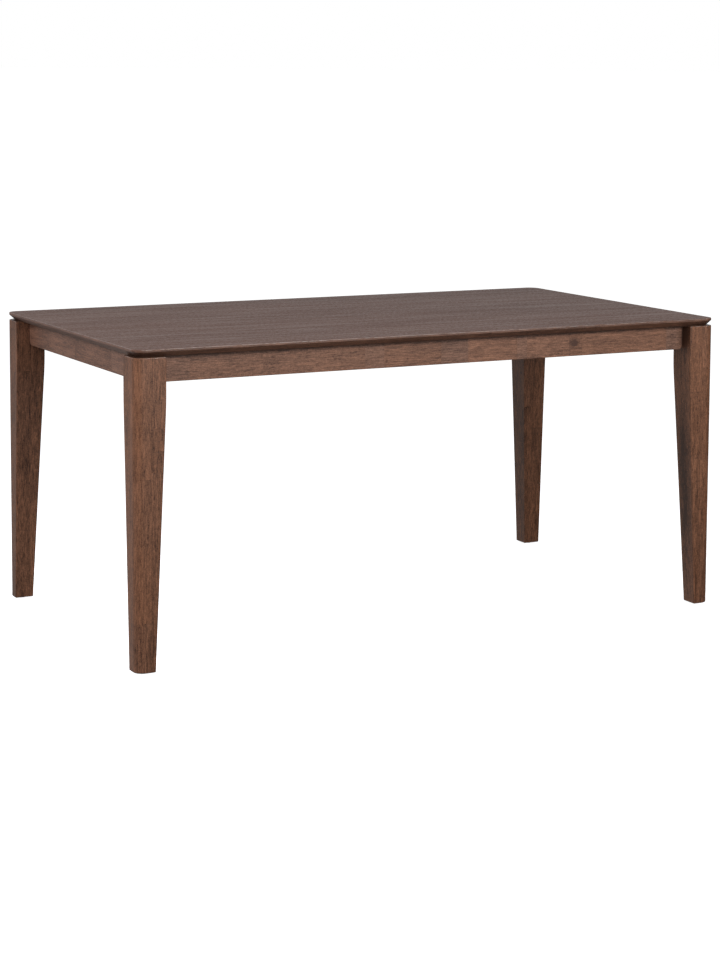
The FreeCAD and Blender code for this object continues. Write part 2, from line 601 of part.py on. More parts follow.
def make_corner_hardware():
    """Make the hanger bolts, washers, nuts, block screws and apron dowels of all four corners."""
    bolt = cylinder("bolt_diameter", "bolt_length")
    node(at_corners(along_bolts(bolt, BOLT_START)), "hanger_bolts")
    bolt_hole = cylinder("bolt_diameter + thread_play", "bolt_length")
    washer = difference(cylinder("washer_diameter", "washer_thickness"), bolt_hole)
    node(at_corners(along_bolts(washer, f"{FAR_SUM} / 2")), "bolt_washers")
    hexagon = doc.addObject("Part::Prism", "Hexagon")
    bind(hexagon, Circumradius="nut_width / sqrt(3)", Height="nut_height")
    nut = difference(hexagon, bolt_hole)
    node(at_corners(along_bolts(nut, f"{FAR_SUM} / 2 + washer_thickness / sqrt(2)")), "bolt_nuts")

    screw = wood_screw("screw_diameter", "block_screw_length", "screw_head_diameter", "screw_head_height")
    screws = []
    for level in around(JOINT_LEVEL, "block_screw_spacing"):
        to_long, to_short = FreeCAD.Vector(0, -1, 0), FreeCAD.Vector(-1, 0, 0)
        screws.append(place(copy_of(screw), BLOCK_SCREW_PLACE, BLOCK_SCREW_SEAT, level, 0, to_long))
        screws.append(place(copy_of(screw), BLOCK_SCREW_SEAT, BLOCK_SCREW_PLACE, level, 0, to_short))
    node(at_corners(grouped(screws)), "corner_block_screws")

    dowel = cylinder("dowel_diameter", "dowel_length")
    start = "leg_width - dowel_length / 2"
    dowels = []
    for level in around(JOINT_LEVEL, "dowel_spacing"):
        dowels.append(place(copy_of(dowel), start, APRON_MIDDLE, level, 0, FreeCAD.Vector(1, 0, 0)))
        dowels.append(place(copy_of(dowel), APRON_MIDDLE, start, level, 0, FreeCAD.Vector(0, 1, 0)))
    node(at_corners(grouped(dowels)), "apron_dowels")


def make_rail_hardware():
    """Make the cross rail's dowels and its screws into the top."""
    dowel = cylinder("dowel_diameter", "dowel_length")
    reach = f"(table_width / 2 - leg_inset - {APRON_INNER} + rail_dowel_bite)"
    dowels = []
    for level in around(f"({UNDERSIDE} - rail_height / 2)", "rail_dowel_spacing"):
        dowels.append(place(copy_of(dowel), "0", f"-{reach}", level, 0, FreeCAD.Vector(0, 1, 0)))
        dowels.append(place(copy_of(dowel), "0", reach, level, 0, FreeCAD.Vector(0, -1, 0)))
    node(grouped(dowels), "cross_rail_dowels")
    shank = ("rail_screw_diameter", "rail_screw_length")
    screw = wood_screw(*shank, "rail_screw_head_diameter", "screw_head_height")
    node(at_rail_screws(screw, RAIL_SCREW_SEAT), "cross_rail_screws")


# A glide lies under the middle of each foot. Its nail's head is sunk into the face on the floor.
def make_glides():
    """Make the four round glides and their nails."""
    middle = "foot_width / 2"
    foot = cone("glide_diameter - 2 * glide_chamfer", "glide_diameter", "glide_chamfer")
    disc = place(cylinder("glide_diameter", "glide_height - glide_chamfer"), "0", "0", "glide_chamfer")
    recess = cylinder("nail_head_diameter + thread_play", "nail_head_recess")
    hole = cylinder("nail_diameter + thread_play", "glide_height")
    glide = difference(joined([foot, disc]), joined([recess, hole]))
    node(at_corners(grouped([place(copy_of(glide), middle, middle, "0")])), "foot_glides")
    shank = cylinder("nail_diameter", "nail_length - screw_point_length")
    point = cone("nail_diameter", "0", "screw_point_length")
    place(point, "0", "0", "nail_length - screw_point_length")
    head = place(cylinder("nail_head_diameter", "nail_head_height"), "0", "0", "-nail_head_height")
    nail = joined([shank, point, head])
    node(at_corners(grouped([place(copy_of(nail), middle, middle, "nail_head_recess")])), "glide_nails")


def write_parts():
    """Check every object, then write each piece to a file of its own."""
    doc.recompute()
    for item in doc.Objects:
        if "Invalid" in item.State or "Error" in item.State:
            raise RuntimeError(f"{item.Name} ({item.Label}) failed: {item.State}")
    for item in nodes:
        if item.Shape.isNull() or not item.Shape.isValid() or not item.Shape.Solids:
            raise RuntimeError(f"{item.Label} has no valid shape")
    os.makedirs("parts", exist_ok=True)
    for item in nodes:
        item.Shape.exportStep(f"parts/{item.Label}.step")
        box = item.Shape.BoundBox
        spans = f"{box.XMin:.1f} {box.XMax:.1f}, {box.YMin:.1f} {box.YMax:.1f}, {box.ZMin:.1f} {box.ZMax:.1f}"
        print(f"{item.Label}: {len(item.Shape.Solids)} solids, {item.Shape.Volume:.0f} mm3, {spans}")


make_top()
for corner_name, corner_x, corner_y, corner_turn in CORNERS:
    make_leg(corner_name, corner_x, corner_y, corner_turn)
    make_corner_block(corner_name, corner_x, corner_y, corner_turn)
make_apron("front", LONG_APRON_HALF, LONG_PLACES, True, "0", f"{FRONT} + {APRON_OUTER}", 0)
make_apron("back", LONG_APRON_HALF, LONG_PLACES, True, "0", f"{BACK} - {APRON_OUTER}", 180)
make_apron("left", SHORT_APRON_HALF, SHORT_PLACES, False, f"{LEFT} + {APRON_OUTER}", "0", -90)
make_apron("right", SHORT_APRON_HALF, SHORT_PLACES, False, f"{RIGHT} - {APRON_OUTER}", "0", 90)
make_cross_rail()
make_corner_hardware()
make_rail_hardware()
bracket_shank = ("screw_diameter", "bracket_screw_length")
bracket_screw = wood_screw(*bracket_shank, "screw_head_diameter", "screw_head_height")
node(at_brackets(angle_bracket()), "top_brackets")
node(at_brackets(bracket_screw_pair(bracket_screw)), "bracket_screws")
make_glides()
write_parts()
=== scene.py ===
import bmesh
import bpy
import math
import numpy as np
from mathutils import Matrix, Vector


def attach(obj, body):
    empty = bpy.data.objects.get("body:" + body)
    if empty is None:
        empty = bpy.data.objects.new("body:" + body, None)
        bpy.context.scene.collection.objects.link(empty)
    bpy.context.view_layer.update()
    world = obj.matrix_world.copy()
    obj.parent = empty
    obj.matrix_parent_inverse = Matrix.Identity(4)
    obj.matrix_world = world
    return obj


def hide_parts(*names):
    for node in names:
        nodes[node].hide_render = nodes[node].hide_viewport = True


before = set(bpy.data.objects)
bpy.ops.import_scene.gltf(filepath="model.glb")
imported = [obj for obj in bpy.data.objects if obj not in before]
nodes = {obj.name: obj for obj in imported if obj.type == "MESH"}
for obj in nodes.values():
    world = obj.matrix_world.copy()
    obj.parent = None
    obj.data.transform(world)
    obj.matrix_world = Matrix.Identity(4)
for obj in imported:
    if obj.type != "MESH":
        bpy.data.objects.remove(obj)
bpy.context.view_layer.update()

# Four legs. Each is glued up from two thick lamellae, which are made of finger-jointed blocks of
# light hardwood, then planed, tapered on its two inner faces and stained brown. The outer corner is
# well rounded. A flat across the inner corner, level with the aprons, takes the hanger bolts.
LEG_OUTER_X, LEG_OUTER_Y = 0.799, 0.449
LEG_FOOT, LEG_TOP = 0.003, 0.731
LEG_WIDTH, FOOT_WIDTH = 0.076, 0.048
TAPER_START, TAPER_CURVE = 0.650, 1.200
SEAT_LEVEL, SEAT_CUT = 0.669, 0.012
OUTER_ROUND, LEG_ARRIS = 0.024, 0.0025
FOOT_EASING, LEG_TOP_EASING = 0.0024, 0.0016
SMOOTH_ANGLE = math.radians(38)
MERGE_DISTANCE, THIN_DISTANCE = 1e-6, 1e-7
FINGER_WIDTH, FINGER_SLOPE = 0.0022, 3.6
JOINT_LINE, LAMELLA_SEAM = 0.0012, 0.0006
BLOCK_SHIFT = (3.1, 5.3, 7.7)
DRIFT_CELLS, WAVER_REACH = (1.6, 14.0), 0.02
STREAK_CELLS, BAND_CELLS, DASH_CELLS = (22.0, 430.0), (3.5, 80.0), (105.0, 560.0)
CLOUD_CELLS, PORE_CELLS, SPECKLE_CELLS = (5.0, 20.0), (62.0, 1500.0), (420.0, 420.0)
WOOD_RELIEF = 0.00025
LACQUER_ROUGHNESS, LACQUER_INDEX = 0.3, 1.9
LACQUER_PATCH_CELLS, LACQUER_RUN_OUT = (90.0, 90.0), 0.0006


class Signal:
    """A number or colour that changes over a surface or the sky. Its sums and products add Math nodes."""

    def __init__(self, owner, socket):
        self.owner = owner
        self.socket = socket

    def math(self, operation, *others):
        """Join this signal and others, numbers or signals, in one Math node."""
        inputs = dict(enumerate((self,) + others))
        return self.owner.node("ShaderNodeMath", {"operation": operation}, inputs)

    def __add__(self, other):
        return self.math("ADD", other)

    def __mul__(self, other):
        return self.math("MULTIPLY", other)

    __radd__ = __add__
    __rmul__ = __mul__

    def __sub__(self, other):
        return self.math("SUBTRACT", other)

    def __rsub__(self, other):
        return self * -1.0 + other

    def __gt__(self, other):
        return self.math("GREATER_THAN", other)

    def rise(self, start, end):
        """Go smoothly from 0 at start to 1 at end."""
        return self.owner.node(
            "ShaderNodeMapRange", {"interpolation_type": "SMOOTHSTEP"}, {0: self, 1: start, 2: end}
        )


class SignalTree:
    """One node tree, of a material or of the sky, built up from signals."""

    def __init__(self, tree):
        self.tree = tree

    def connect(self, socket, value):
        """Link a signal to a socket, or set the socket to a plain value."""
        if isinstance(value, Signal):
            self.tree.links.new(value.socket, socket)
        else:
            socket.default_value = value

    def node(self, kind, settings=None, inputs=None, output=0):
        """Add one node: its settings or ramp stops first, then the values or links of its sockets."""
        made = self.tree.nodes.new(kind)
        for name, value in (settings or {}).items():
            if name == "stops":
                stops = made.color_ramp.elements
                stops.remove(stops[1])
                stops[0].position, stops[0].color = value[0]
                for position, colour in value[1:]:
                    stops.new(position).color = colour
            elif name == "steps":
                made.color_ramp.interpolation = value
            else:
                setattr(made, name, value)
        for name, value in (inputs or {}).items():
            self.connect(made.inputs[name], value)
        return Signal(self, made.outputs[output])

    def parts(self, vector):
        """Split a vector or a colour into its three numbers."""
        made = self.tree.nodes.new("ShaderNodeSeparateXYZ")
        self.connect(made.inputs[0], vector)
        return [Signal(self, socket) for socket in made.outputs]

    def vector(self, operation, *others):
        """Join vectors in one Vector Math node."""
        output = 1 if operation == "LENGTH" else 0
        return self.node("ShaderNodeVectorMath", {"operation": operation}, dict(enumerate(others)), output)

    def noise(self, place, stretch, detail=2.0, roughness=0.5):
        """Read a noise whose cells have the given number to the metre along each axis."""
        scaled = self.vector("MULTIPLY", place, stretch)
        inputs = {"Vector": scaled, "Scale": 1.0, "Detail": detail, "Roughness": roughness}
        return self.node("ShaderNodeTexNoise", {}, inputs)

    def mixed(self, share, first, second):
        """Mix two colours by a share."""
        return self.node("ShaderNodeMix", {"data_type": "RGBA"}, {0: share, 6: first, 7: second}, 2)

    def clamped(self, value):
        """Keep a signal between 0 and 1."""
        return self.node("ShaderNodeClamp", {}, {0: value})


class Finish(SignalTree):
    """One procedural material that ends in its Principled shader."""

    def __init__(self, name):
        self.material = bpy.data.materials.new(name)
        self.material.use_nodes = True
        super().__init__(self.material.node_tree)
        self.shader = self.tree.nodes["Principled BSDF"]
        self.place = self.node("ShaderNodeTexCoord", output=3)
        self.x, self.y, self.z = self.parts(self.place)

    def near(self, middle, reach):
        """Give 1 at the middle of an ellipsoid, falling smoothly to 0 at its skin."""
        away = self.vector("SUBTRACT", self.place, middle)
        away = self.vector("MULTIPLY", away, [1.0 / radius for radius in reach])
        return self.vector("LENGTH", away).rise(1.0, 0.0)

    def close(self, colour, roughness, height, depth, shine=0.5):
        """Wire the colour, the roughness and a relief of some depth in metres into the shader."""
        self.connect(self.shader.inputs["Base Color"], colour)
        self.connect(self.shader.inputs["Roughness"], roughness)
        self.shader.inputs["Specular IOR Level"].default_value = shine
        bump = self.node("ShaderNodeBump", {}, {"Strength": 1.0, "Distance": depth, "Height": height})
        self.connect(self.shader.inputs["Normal"], bump)
        return self.material

    def lacquer(self, share):
        """Lay a clear coat over part of the surface, thick enough there to shine."""
        self.connect(self.shader.inputs["Coat Weight"], share)
        self.shader.inputs["Coat Roughness"].default_value = LACQUER_ROUGHNESS
        self.shader.inputs["Coat IOR"].default_value = LACQUER_INDEX


def grained(run, along, across):
    """Cells to the metre along each axis, for grain that runs on one of them."""
    return [along if axis == run else across for axis in range(3)]


def jointed_wood(name, run, span, rows, dark, light, split=None, spots=(), gloss=0.46,
                 glossy_level=None, painted_shade_levels=None, shine=0.35):
    """A stained board or post of finger-jointed blocks.

    Each row lists the blocks of one lamella as (start, tone, greyness): a stepped ramp along the
    grain, whose steps run in and out as fingers across the lamella. The grain's noises are moved by
    each block's own values, so that no streak goes on over a joint. Spots are knots and marks, and
    patches of painted shade in corners and gaps: (middle, reach, depth). The colour darkens from
    the first painted shade level to the second, by a depth: painted shade under the top and in the
    gaps at its edge, and on the legs' tops also the end grain's darker stain. Above the glossy level
    the eased edge has a patchy lacquer.
    """
    finish = Finish(name)
    axes = (finish.x, finish.y, finish.z)
    across = axes[1] if run != 1 else axes[0]
    fingers = across.math("PINGPONG", FINGER_WIDTH) * FINGER_SLOPE
    low, length = span[0], span[1] - span[0]
    travel = (axes[run] + fingers - low) * (1.0 / length)
    ramps, lines = [], []
    for turn, row in enumerate(rows):
        stops = []
        for order, (start, tone, grey) in enumerate(row):
            own_value = (7 * order + 3 * turn) % 10 / 10
            stops.append(((start - low) / length, (tone, grey, own_value, 1.0)))
        ramps.append(finish.node("ShaderNodeValToRGB", {"stops": stops, "steps": "CONSTANT"}, {0: travel}))
        line = 0.0
        for position, _ in stops[1:]:
            gap = (travel - position).math("ABSOLUTE")
            line = gap.rise(JOINT_LINE / length, 0.0) + line
        lines.append(line)
    block, line = ramps[0], lines[0]
    if split:
        side = axes[split[0]] > split[1]
        block = finish.mixed(side, ramps[0], ramps[1])
        seam = (axes[split[0]] - split[1]).math("ABSOLUTE").rise(LAMELLA_SEAM, 0.0)
        line = side * lines[1] + (1.0 - side) * lines[0] + seam * 0.7
    tone, grey, _ = finish.parts(block)
    own = finish.vector("MULTIPLY_ADD", block, BLOCK_SHIFT, finish.place)

    drift = finish.noise(own, grained(run, *DRIFT_CELLS))
    drifts = finish.node("ShaderNodeCombineXYZ", {}, {0: drift, 1: drift, 2: drift})
    waver = finish.vector("MULTIPLY_ADD", drifts, (WAVER_REACH,) * 3, own)
    streaks = finish.noise(waver, grained(run, *STREAK_CELLS), 2.0, 0.6)
    bands = finish.noise(waver, grained(run, *BAND_CELLS), 2.0, 0.55)
    dashes = finish.noise(waver, grained(run, *DASH_CELLS), 1.0, 0.6)
    speckle = finish.noise(own, grained(run, *SPECKLE_CELLS), 1.0, 0.6)
    cloud = finish.noise(own, grained(run, *CLOUD_CELLS))
    pores = finish.noise(waver, grained(run, *PORE_CELLS), 1.0).rise(0.62, 0.74)
    share = (tone - 0.5) * 0.7 + 0.5 + (streaks - 0.5) * 1.5 + (dashes - 0.5) + (speckle - 0.5)
    share = share + (bands - 0.5) * 0.5 + (cloud - 0.5) * 0.5 - pores * 0.2 - line * 0.15
    for middle, reach, depth in spots:
        share = share - finish.near(middle, reach) * depth
    # Painted shade, and on the legs' tops also the end grain's darker stain: the colour darkens between the
    # two levels.
    if painted_shade_levels:
        start, end, depth = painted_shade_levels
        share = share - finish.z.rise(start, end) * depth
    colour = finish.mixed(finish.clamped(share), dark, light)
    shade = finish.node("ShaderNodeRGBToBW", {}, {0: colour})
    dull = finish.node("ShaderNodeCombineColor", {}, {0: shade * 1.2, 1: shade * 1.02, 2: shade * 0.96})
    colour = finish.mixed(grey * 0.5, colour, dull)
    height = streaks * 0.3 + dashes * 0.4 - pores * 0.6 - line * 0.4
    roughness = gloss + (streaks - 0.5) * 0.22 + pores * 0.15
    if glossy_level:
        patches = finish.noise(finish.place, grained(run, *LACQUER_PATCH_CELLS)).rise(0.30, 0.55)
        finish.lacquer(finish.z.rise(glossy_level - LACQUER_RUN_OUT, glossy_level) * patches)
    return finish.close(colour, roughness, height, WOOD_RELIEF, shine)


def skin(name, rings):
    """Close a shape over rings of points.

    Ring i joins ring i + 1 by four-sided faces, point to point, and a flat face closes the first and
    the last ring. Points that fall together are merged. If the sum of every face's signed pyramid
    over the origin is negative, all faces are turned.
    """
    count, around = rings.shape[:2]
    index = np.arange(count * around).reshape(count, around)
    ahead = np.roll(index, -1, axis=1)
    sides = np.stack([index[:-1], ahead[:-1], ahead[1:], index[1:]], -1).reshape(-1, 4)
    points = rings.reshape(-1, 3)
    a, b, c, d = (points[sides[:, k]] for k in range(4))
    volume = np.sum(np.cross(a, b) * c) + np.sum(np.cross(a, c) * d)
    for cap in (index[0][::-1], index[-1]):
        fan = points[cap]
        volume += np.sum(np.cross(fan[0], fan[1:-1]) * fan[2:])
    faces = [list(face) for face in sides] + [list(index[0][::-1]), list(index[-1])]
    if volume < 0:
        faces = [face[::-1] for face in faces]
    mesh = bpy.data.meshes.new(name)
    mesh.from_pydata(points, [], faces)
    work = bmesh.new()
    work.from_mesh(mesh)
    bmesh.ops.remove_doubles(work, verts=work.verts, dist=MERGE_DISTANCE)
    bmesh.ops.dissolve_degenerate(work, edges=work.edges, dist=THIN_DISTANCE)
    work.to_mesh(mesh)
    work.free()
    mesh.shade_smooth()
    mesh.set_sharp_from_angle(angle=SMOOTH_ANGLE)
    piece = bpy.data.objects.new(name, mesh)
    bpy.context.scene.collection.objects.link(piece)
    even = piece.modifiers.new("even_shading", "WEIGHTED_NORMAL")
    even.keep_sharp = True
    return piece


def settle(piece, node, material):
    """Put a new piece in the place of a CAD node, on the table's one body."""
    piece.data.materials.append(material)
    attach(piece, "root")
    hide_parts(node)


def easing(radius, steps=4):
    """A quarter round: pairs of (rise from the end face, distance inside the long face)."""
    turn = np.linspace(0.0, math.pi / 2, steps + 1)
    return radius * (1.0 - np.cos(turn)), radius * (1.0 - np.sin(turn))


def leg_rings(side_x, side_y):
    """Rings of a leg at rising levels.

    The width falls from the taper's start by a circle, w = W - R (1 - cos t) at z = Z - R sin t, and
    then by the line that touches it and meets the foot's width. Every ring is five arcs: the outer
    corner, two plain arrises, and two half corners that part where the bolt seat is cut. An inset
    takes the same length off each arc's radius.
    """
    run, drop = TAPER_START - LEG_FOOT, LEG_WIDTH - TAPER_CURVE - FOOT_WIDTH
    reach = math.hypot(run, drop)
    lean = math.asin(TAPER_CURVE / reach) - math.atan2(-drop, run)
    turn = np.linspace(lean, 0.0, 9)
    foot_rise, foot_inset = easing(FOOT_EASING)
    top_rise, top_inset = easing(LEG_TOP_EASING)
    curve_z = TAPER_START - TAPER_CURVE * np.sin(turn)
    z = np.concatenate([LEG_FOOT + foot_rise, curve_z, [SEAT_LEVEL, SEAT_LEVEL], LEG_TOP - top_rise[::-1]])
    inset = np.concatenate([foot_inset, np.zeros(len(turn) + 2), top_inset[::-1]])
    straight = FOOT_WIDTH + (z - LEG_FOOT) * math.tan(lean)
    bend = LEG_WIDTH - TAPER_CURVE + np.sqrt(TAPER_CURVE ** 2 - np.clip(TAPER_START - z, 0.0, None) ** 2)
    width = np.where(z < curve_z[0] - 1e-9, straight, bend)
    half_turn = LEG_ARRIS * math.tan(math.pi / 8)
    cut = np.full(len(z), LEG_ARRIS - half_turn)
    cut[len(foot_rise) + len(turn) + 1:] = SEAT_CUT
    arcs = (
        (180, 270, 17, OUTER_ROUND, OUTER_ROUND + 0 * z, OUTER_ROUND + 0 * z),
        (270, 360, 7, LEG_ARRIS, width - LEG_ARRIS, LEG_ARRIS + 0 * z),
        (0, 45, 5, LEG_ARRIS, width - LEG_ARRIS, width - cut - half_turn),
        (45, 90, 5, LEG_ARRIS, width - cut - half_turn, width - LEG_ARRIS),
        (90, 180, 7, LEG_ARRIS, LEG_ARRIS + 0 * z, width - LEG_ARRIS),
    )
    u, v = [], []
    for start, end, count, radius, middle_u, middle_v in arcs:
        angle = np.radians(np.linspace(start, end, count))[None, :]
        short = (radius - inset)[:, None]
        u.append(middle_u[:, None] + short * np.cos(angle))
        v.append(middle_v[:, None] + short * np.sin(angle))
    u, v = np.hstack(u), np.hstack(v)
    levels = np.broadcast_to(z[:, None], u.shape)
    return np.stack([side_x * (LEG_OUTER_X - u), side_y * (LEG_OUTER_Y - v), levels], -1)


LEG_DARK, LEG_LIGHT = (0.042, 0.0168, 0.0088, 1.0), (0.278, 0.121, 0.063, 1.0)
LEG_SPAN = (-0.02, 0.76)
LEG_SPLIT = LEG_OUTER_X - LEG_WIDTH / 2
# The legs' top faces are darker: the end grain takes more stain, and painted shade stands for the dark gap
# under the top's bevel.
LEG_TOP_STAIN_AND_SHADE = (LEG_TOP - 0.0002, LEG_TOP, 0.6)
LEGS = {
    "front_left": (-1, -1, (
        ((-0.02, 0.50, 0.10), (0.118, 0.56, 0.0), (0.300, 0.52, 0.05), (0.452, 0.55, 0.0),
         (0.640, 0.50, 0.05)),
        ((-0.02, 0.42, 0.05), (0.170, 0.47, 0.05), (0.465, 0.34, 0.0), (0.515, 0.56, 0.0), (0.540, 0.35, 0.0),
         (0.566, 0.52, 0.05)),
    ), (
        ((-0.757, -0.449, 0.052), (0.004, 0.008, 0.030), 0.30),
    )),
    "front_right": (1, -1, (
        ((-0.02, 0.40, 0.0), (0.150, 0.44, 0.05), (0.396, 0.42, 0.0), (0.560, 0.52, 0.0)),
        ((-0.02, 0.46, 0.05), (0.210, 0.52, 0.0), (0.381, 0.48, 0.0), (0.620, 0.53, 0.05)),
    ), (
        ((0.748, -0.449, 0.388), (0.010, 0.010, 0.004), 0.30),
        ((0.744, -0.449, 0.352), (0.006, 0.010, 0.008), 0.30),
        ((0.752, -0.449, 0.326), (0.008, 0.010, 0.005), 0.30),
        # The next two spots are painted shade: the dark corner under the top between the apron's end and the
        # leg, and the leg's inner face, shaded under the table.
        ((0.722, -0.426, 0.728), (0.014, 0.036, 0.110), 1.00),
        ((0.737, -0.415, 0.330), (0.018, 0.034, 0.500), 0.55),
    )),
    "back_right": (1, 1, (
        ((-0.02, 0.34, 0.0), (0.240, 0.38, 0.0), (0.409, 0.46, 0.05), (0.590, 0.56, 0.0)),
        ((-0.02, 0.36, 0.0), (0.180, 0.32, 0.05), (0.350, 0.50, 0.0), (0.610, 0.56, 0.0)),
    ), (
        ((0.743, 0.385, 0.409), (0.008, 0.02, 0.007), 0.45),
    )),
    "back_left": (-1, 1, (
        ((-0.02, 0.34, 0.05), (0.186, 0.38, 0.0), (0.413, 0.34, 0.05), (0.600, 0.40, 0.0)),
        ((-0.02, 0.50, 0.0), (0.348, 0.43, 0.0), (0.520, 0.49, 0.05)),
    ), (
        ((-0.780, 0.390, 0.275), (0.006, 0.02, 0.030), 0.25),
    )),
}
for corner, (side_x, side_y, rows, spots) in LEGS.items():
    leg_material = jointed_wood(
        f"stained_leg_{corner}", 2, LEG_SPAN, rows, LEG_DARK, LEG_LIGHT, (0, side_x * LEG_SPLIT), spots,
        glossy_level=LEG_TOP - LEG_TOP_EASING, painted_shade_levels=LEG_TOP_STAIN_AND_SHADE
    )
    settle(skin(f"leg_{corner}", leg_rings(side_x, side_y)), f"{corner}_leg", leg_material)

# Hanger bolts, washers and nuts. The bolts' coarse ends are screwed into the legs, and the washers
# and nuts on their free ends pull each leg tight against its corner block. All are zinc-plated
# steel. The other steel fixings of the table have the same finish.
ZINC_BRIGHT, ZINC_DULL = (0.62, 0.63, 0.65, 1.0), (0.34, 0.33, 0.30, 1.0)
ZINC_SPANGLE_DEPTH, ZINC_METAL, ZINC_RELIEF = 0.72, 0.9, 0.00005
SPANGLE_CELLS, MARK_CELLS, PATINA_CELLS = (700.0, 700.0, 700.0), (120.0, 4000.0), (60.0, 60.0, 60.0)


def plated_steel(name):
    """Bright zinc plate with a faint spangle and fine marks from the rolling and the driver."""
    finish = Finish(name)
    spangle = finish.noise(finish.place, SPANGLE_CELLS, 3.0, 0.6)
    marks = finish.noise(finish.place, grained(2, *MARK_CELLS))
    patina = finish.noise(finish.place, PATINA_CELLS, 3.0, 0.6)
    darker = [ZINC_SPANGLE_DEPTH * part for part in ZINC_BRIGHT[:3]] + [1.0]
    shade = finish.mixed(spangle, ZINC_BRIGHT, darker)
    shade = finish.mixed(patina.rise(0.52, 0.8) * 0.5, shade, ZINC_DULL)
    finish.shader.inputs["Metallic"].default_value = ZINC_METAL
    roughness = 0.3 + spangle * 0.16 + patina * 0.12
    return finish.close(shade, roughness, marks * 0.5 + spangle, ZINC_RELIEF)


def dress(name, material):
    """Give a CAD node its finish."""
    slots = nodes[name].data.materials
    slots.clear()
    slots.append(material)


zinc_steel = plated_steel("zinc_steel")
for name in ("hanger_bolts", "bolt_washers", "bolt_nuts"):
    dress(name, zinc_steel)

# Four aprons. Each is one low board of full-height blocks, finger-jointed end to end, stained with
# the legs, and butts against the legs on two dowels at each end. The lower end corners are rounded.
APRON_LOW, APRON_HIGH = 0.669, 0.731
APRON_END_ROUND, APRON_ARRIS = 0.012, 0.0012
LONG_APRON_HALF, SHORT_APRON_HALF = 0.723, 0.373
LONG_APRON_FACES, SHORT_APRON_FACES = (0.414, 0.392), (0.764, 0.742)
APRON_DARK, APRON_LIGHT = (0.064, 0.027, 0.016, 1.0), (0.300, 0.143, 0.084, 1.0)
# Painted shade: each apron darkens toward its upper edge, where the top's overhang shades it.
APRON_TOP_PAINTED_SHADE = (0.7205, 0.7300, 0.50)
SPAN_MARGIN = 0.02


def apron_rings(half, faces, run):
    """Rings of an apron from its outer face to its inner one.

    Each ring is the board's outline, a rectangle whose two lower corners are quarter circles, drawn
    inside itself near both faces by a quarter round.
    """
    rise, inset = easing(APRON_ARRIS, 3)
    depth = np.concatenate([faces[0] - rise, faces[1] + rise[::-1]])
    inset = np.concatenate([inset, inset[::-1]])[:, None]
    small = APRON_ARRIS
    corners = (
        (180, 270, 9, APRON_END_ROUND, -half + APRON_END_ROUND, APRON_LOW + APRON_END_ROUND),
        (270, 360, 9, APRON_END_ROUND, half - APRON_END_ROUND, APRON_LOW + APRON_END_ROUND),
        (0, 90, 4, small, half - small, APRON_HIGH - small),
        (90, 180, 4, small, -half + small, APRON_HIGH - small),
    )
    along, level = [], []
    for start, end, count, radius, middle, height in corners:
        angle = np.radians(np.linspace(start, end, count))[None, :]
        along.append(middle + (radius - inset) * np.cos(angle))
        level.append(height + (radius - inset) * np.sin(angle))
    along, level = np.hstack(along), np.hstack(level)
    depth = np.broadcast_to(depth[:, None], along.shape)
    return np.stack([along, depth, level] if run == 0 else [depth, along, level], -1)


FRONT_APRON_ROWS = ((
    (-0.74, 0.46, 0.20), (-0.655, 0.52, 0.05), (-0.468, 0.50, 0.05), (-0.198, 0.46, 0.20),
    (-0.148, 0.52, 0.0), (0.010, 0.45, 0.30), (0.082, 0.60, 0.0), (0.225, 0.46, 0.25),
    (0.255, 0.52, 0.05), (0.380, 0.50, 0.0), (0.415, 0.54, 0.0), (0.670, 0.44, 0.35),
),)
FRONT_APRON_SPOTS = (
    ((0.393, -0.414, 0.702), (0.014, 0.012, 0.011), 1.10),
    ((0.389, -0.414, 0.704), (0.005, 0.012, 0.004), -0.50),
    ((0.380, -0.414, 0.700), (0.0026, 0.012, 0.030), 0.40),
    ((0.393, -0.414, 0.702), (0.034, 0.012, 0.020), 0.30),
    # Painted shade: a dark strip at the apron's right end, in the corner where it meets the leg.
    ((0.724, -0.414, 0.700), (0.0060, 0.012, 0.080), 1.60),
    ((-0.140, -0.414, 0.686), (0.006, 0.010, 0.005), 0.50),
    ((-0.083, -0.414, 0.688), (0.005, 0.010, 0.004), 0.50),
    ((-0.050, -0.414, 0.688), (0.005, 0.010, 0.004), 0.22),
    ((-0.099, -0.414, 0.685), (0.006, 0.010, 0.003), -0.35),
    ((-0.260, -0.414, 0.679), (0.016, 0.010, 0.0025), 0.40),
)
BACK_APRON_ROWS = ((
    (-0.74, 0.50, 0.05), (-0.520, 0.44, 0.20), (-0.360, 0.54, 0.0), (-0.120, 0.49, 0.10), (0.060, 0.55, 0.0),
    (0.300, 0.46, 0.20), (0.455, 0.52, 0.0), (0.610, 0.48, 0.15),
),)
LEFT_APRON_ROWS = (((-0.38, 0.40, 0.20), (-0.205, 0.37, 0.10), (0.040, 0.44, 0.10), (0.230, 0.32, 0.15)),)
RIGHT_APRON_ROWS = (((-0.38, 0.47, 0.05), (-0.150, 0.53, 0.0), (0.085, 0.45, 0.15), (0.290, 0.51, 0.0)),)
for side, run, way, half, faces, rows, spots in (
    ("front", 0, -1, LONG_APRON_HALF, LONG_APRON_FACES, FRONT_APRON_ROWS, FRONT_APRON_SPOTS),
    ("back", 0, 1, LONG_APRON_HALF, LONG_APRON_FACES, BACK_APRON_ROWS, ()),
    ("left", 1, -1, SHORT_APRON_HALF, SHORT_APRON_FACES, LEFT_APRON_ROWS, ()),
    ("right", 1, 1, SHORT_APRON_HALF, SHORT_APRON_FACES, RIGHT_APRON_ROWS, ()),
):
    rings = apron_rings(half, faces, run)
    rings[..., 1 - run] *= way
    span = (-half - SPAN_MARGIN, half + SPAN_MARGIN)
    apron_material = jointed_wood(
        f"stained_apron_{side}", run, span, rows, APRON_DARK, APRON_LIGHT, None, spots,
        painted_shade_levels=APRON_TOP_PAINTED_SHADE
    )
    settle(skin(f"apron_{side}", rings), f"{side}_apron", apron_material)

